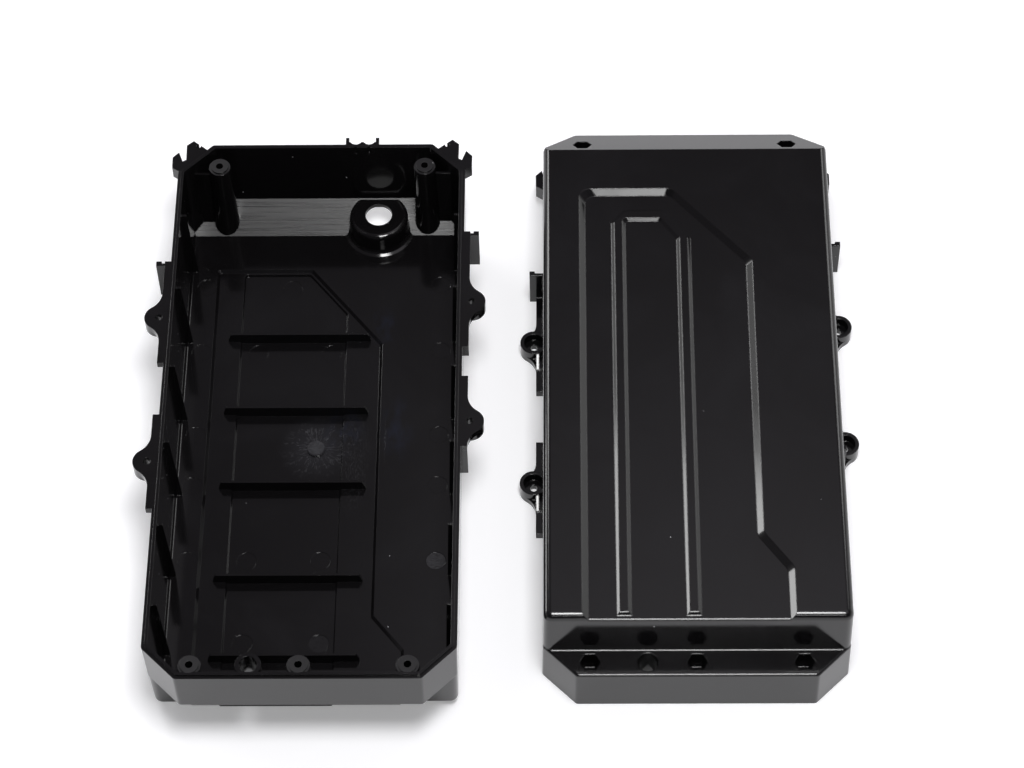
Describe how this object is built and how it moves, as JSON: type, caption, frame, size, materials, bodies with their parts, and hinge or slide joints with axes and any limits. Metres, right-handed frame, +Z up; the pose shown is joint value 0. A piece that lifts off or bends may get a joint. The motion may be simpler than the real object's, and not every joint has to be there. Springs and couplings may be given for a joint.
{
  "type": "battery box",
  "caption": "Moulded battery housing laid open: a ribbed base tray beside its cover, with a stepped panel, side screw lugs, hooks, cable clips and a cable outlet.",
  "frame": {"origin": "centre of the bounding box of both halves, on the floor they lie on", "axes": "+X from the base tray to the cover, +Y from the low ledge to the sloped tail, +Z up"},
  "size_m": [0.3528, 0.3304, 0.0573],
  "materials": {
    "base_moulding": "black ABS as moulded, satin sheen with gate blush",
    "cover_moulding": "black ABS as moulded, satin sheen"
  },
  "bodies": {
    "root": {"base_shell": "base_moulding", "cover_shell": "cover_moulding"}
  },
  "joints": []
}
